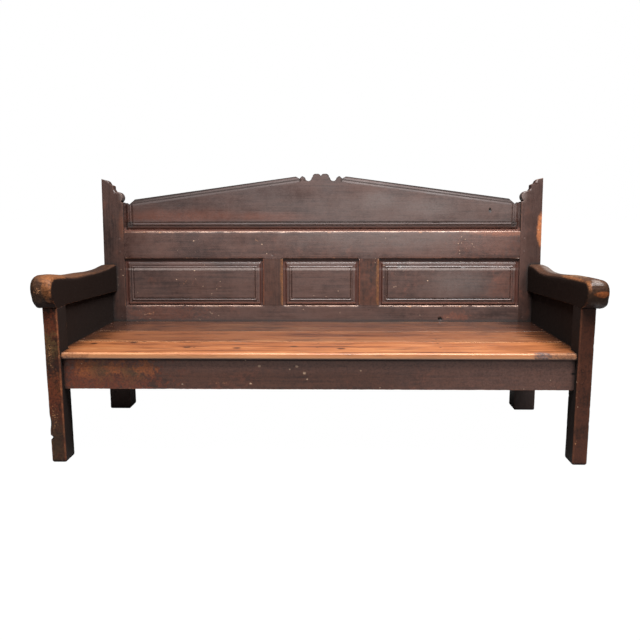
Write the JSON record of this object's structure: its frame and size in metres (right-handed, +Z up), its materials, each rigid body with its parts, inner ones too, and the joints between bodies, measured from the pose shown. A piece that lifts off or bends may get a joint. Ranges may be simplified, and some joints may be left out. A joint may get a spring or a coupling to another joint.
{
  "type": "panelled settle bench",
  "caption": "Long wooden settle bench with a raked panelled back, carved pediment crest, plank seat, rolled arms and square legs.",
  "frame": {"origin": "on the floor, at the middle of the bench's box in length and depth", "axes": "+X along the seat, to the right as seen from the front, +Y from the front legs to the back, +Z up"},
  "size_m": [1.9728, 0.825, 1.049],
  "materials": {
    "dark_pine": "old dark brown paint and stain, satin, worn to bare wood on the arrises",
    "seat_pine": "worn and waxed orange-brown pine",
    "peg_wood": "dark painted peg ends"
  },
  "bodies": {
    "root": {"apron": "dark_pine", "arm_left": "dark_pine", "arm_right": "dark_pine", "back_panel_centre": "dark_pine", "back_panel_left": "dark_pine", "back_panel_right": "dark_pine", "bottom_rail": "dark_pine", "crest_panel": "dark_pine", "front_leg_left": "dark_pine", "front_leg_right": "dark_pine", "middle_rail": "dark_pine", "muntin_left": "dark_pine", "muntin_right": "dark_pine", "peg_apron_left_lower": "peg_wood", "peg_apron_left_upper": "peg_wood", "peg_apron_right_lower": "peg_wood", "peg_apron_right_upper": "peg_wood", "peg_arm_left_front": "peg_wood", "peg_arm_left_rear": "peg_wood", "peg_arm_right_front": "peg_wood", "peg_arm_right_rear": "peg_wood", "peg_bottom_rail_left_lower": "peg_wood", "peg_bottom_rail_left_upper": "peg_wood", "peg_bottom_rail_right_lower": "peg_wood", "peg_bottom_rail_right_upper": "peg_wood", "peg_middle_rail_left_lower": "peg_wood", "peg_middle_rail_left_upper": "peg_wood", "peg_middle_rail_right_lower": "peg_wood", "peg_middle_rail_right_upper": "peg_wood", "peg_muntin_left_bottom_rail": "peg_wood", "peg_muntin_left_middle_rail": "peg_wood", "peg_muntin_right_bottom_rail": "peg_wood", "peg_muntin_right_middle_rail": "peg_wood", "peg_side_rail_left_front": "peg_wood", "peg_side_rail_left_rear": "peg_wood", "peg_side_rail_right_front": "peg_wood", "peg_side_rail_right_rear": "peg_wood", "post_left": "dark_pine", "post_right": "dark_pine", "seat_bearer_centre": "dark_pine", "seat_bearer_left": "dark_pine", "seat_bearer_right": "dark_pine", "seat_plank_front": "seat_pine", "seat_plank_middle": "seat_pine", "seat_plank_rear": "seat_pine", "side_panel_left": "dark_pine", "side_panel_right": "dark_pine", "side_rail_left": "dark_pine", "side_rail_right": "dark_pine"}
  },
  "joints": []
}
